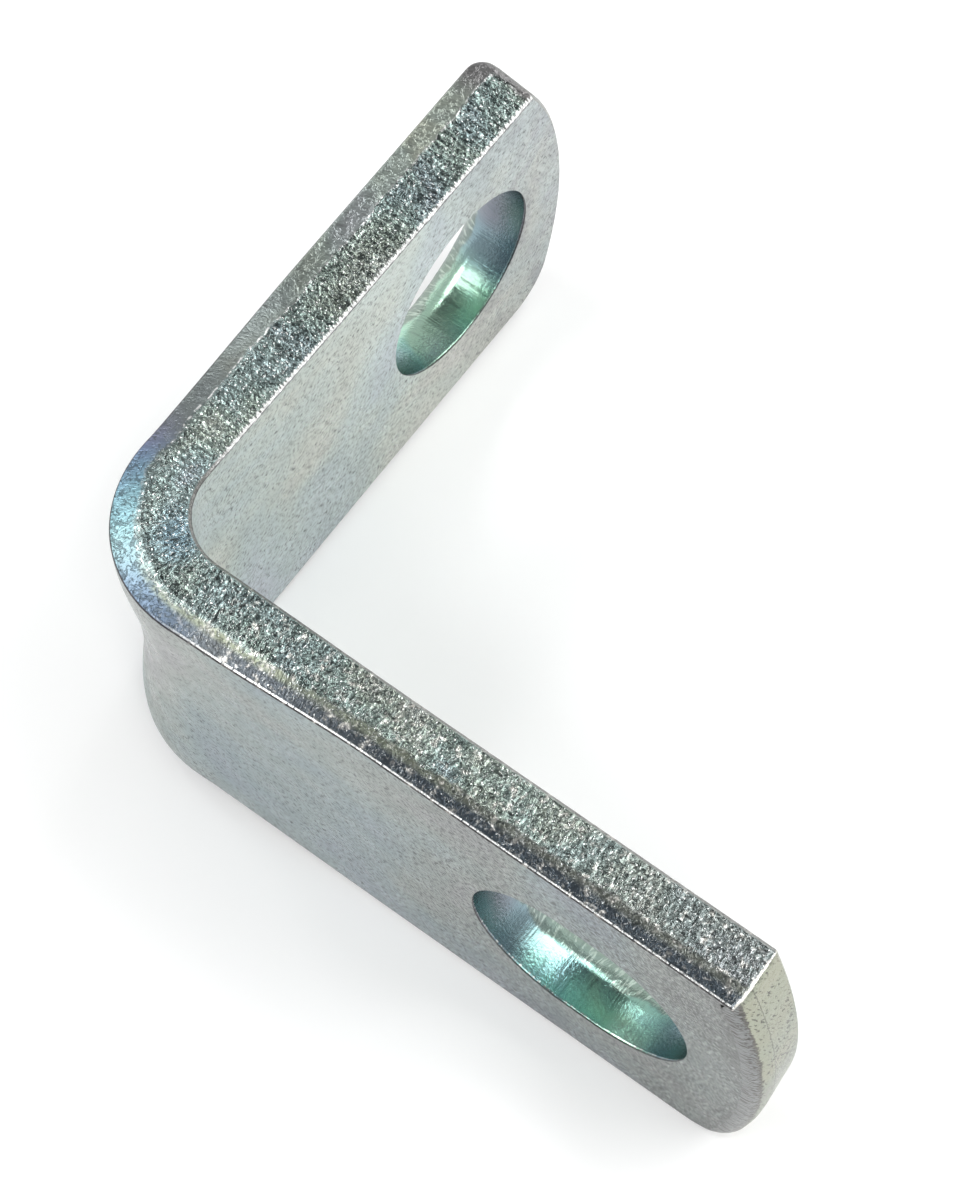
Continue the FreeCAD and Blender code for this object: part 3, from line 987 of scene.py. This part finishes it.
class BRACKET_OT_studio(bpy.types.Operator):
    """Build the floor, the lights and the camera"""
    bl_idname = "bracket.studio"
    bl_label = "Studio"
    bl_options = {"REGISTER", "UNDO"}

    def execute(self, context):
        scene = context.scene
        studio, sizes = scene.bracket_studio, scene.bracket_sizes
        self.floor(context, studio)
        self.sky(scene, studio)
        corner = outer_corner(sizes)
        self.camera(context, studio, corner)
        for name, place, power, side in STUDIO_LIGHTS:
            self.light(context, name, Vector(place), power, side)
        return {"FINISHED"}

    def floor(self, context, studio):
        bm = bmesh.new()
        bmesh.ops.create_grid(bm, x_segments=1, y_segments=1, size=studio.floor_size / 2)
        mesh = bpy.data.meshes.new("floor")
        bm.to_mesh(mesh)
        bm.free()
        material, tree, shader = new_material("pale_floor", 0.0, 0.8)
        tree.feed(shader.inputs["Base Color"], studio.floor)
        tree.feed(shader.inputs["Emission Color"], studio.floor)
        shader.inputs["Specular IOR Level"].default_value = 0.1
        shader.inputs["Emission Strength"].default_value = studio.floor_glow
        mesh.materials.append(material)
        floor = bpy.data.objects.new("floor", mesh)
        context.collection.objects.link(floor)

    def sky(self, scene, studio):
        """Sky that is almost black straight above and white at the height of the floor."""
        world = bpy.data.worlds.new("studio_sky")
        world.use_nodes = True
        tree = Tree(world.node_tree)
        ground = next(node for node in world.node_tree.nodes if node.type == "BACKGROUND")
        up = tree.parts(tree.add("TexCoord").outputs["Generated"])["Z"]
        tree.feed(ground.inputs["Color"], tree.ramp(up, SKY))
        ground.inputs["Strength"].default_value = studio.sky_strength
        scene.world = world
        scene.view_settings.view_transform = "Standard"

    def camera(self, context, studio, corner):
        data = bpy.data.cameras.new("camera")
        data.lens = studio.lens
        data.clip_start = 0.01
        camera = bpy.data.objects.new("camera", data)
        context.collection.objects.link(camera)
        camera.location = corner + Vector(studio.camera)
        aim = corner + Vector(studio.look) - camera.location
        camera.rotation_mode = "QUATERNION"
        camera.rotation_quaternion = aim.to_track_quat("-Z", "Y") @ Quaternion((0, 0, 1), studio.roll)
        context.scene.camera = camera

    def light(self, context, name, place, power, side):
        data = bpy.data.lights.new(name, "AREA")
        data.energy = power
        data.size = side
        lamp = bpy.data.objects.new(name, data)
        lamp.location = place
        lamp.rotation_mode = "QUATERNION"
        lamp.rotation_quaternion = (-place).to_track_quat("-Z", "Y")
        context.collection.objects.link(lamp)


class BRACKET_PT_panel(bpy.types.Panel):
    bl_label = "Angle bracket"
    bl_idname = "BRACKET_PT_panel"
    bl_space_type = "VIEW_3D"
    bl_region_type = "UI"
    bl_category = "Bracket"

    def draw(self, context):
        layout = self.layout
        for group in GROUPS:
            box = layout.box()
            box.label(text=group.removeprefix("bracket_").capitalize())
            settings = getattr(context.scene, group)
            for name in settings.__annotations__:
                box.prop(settings, name)
        layout.operator("bracket.strip")
        layout.operator("bracket.studio")


GROUPS = {
    "bracket_sizes": BracketSizes,
    "bracket_edge": EdgeSizes,
    "bracket_saddle": SaddleSizes,
    "bracket_colours": FinishColours,
    "bracket_studio": StudioSizes,
}
CLASSES = (*GROUPS.values(), BRACKET_OT_strip, BRACKET_OT_studio, BRACKET_PT_panel)


def register():
    for cls in CLASSES:
        bpy.utils.register_class(cls)
    for name, group in GROUPS.items():
        setattr(bpy.types.Scene, name, bpy.props.PointerProperty(type=group))


def unregister():
    for name in GROUPS:
        delattr(bpy.types.Scene, name)
    for cls in reversed(CLASSES):
        bpy.utils.unregister_class(cls)


def main():
    register()
    bpy.ops.bracket.studio()
    bpy.ops.bracket.strip()


if __name__ == "__main__":
    main()
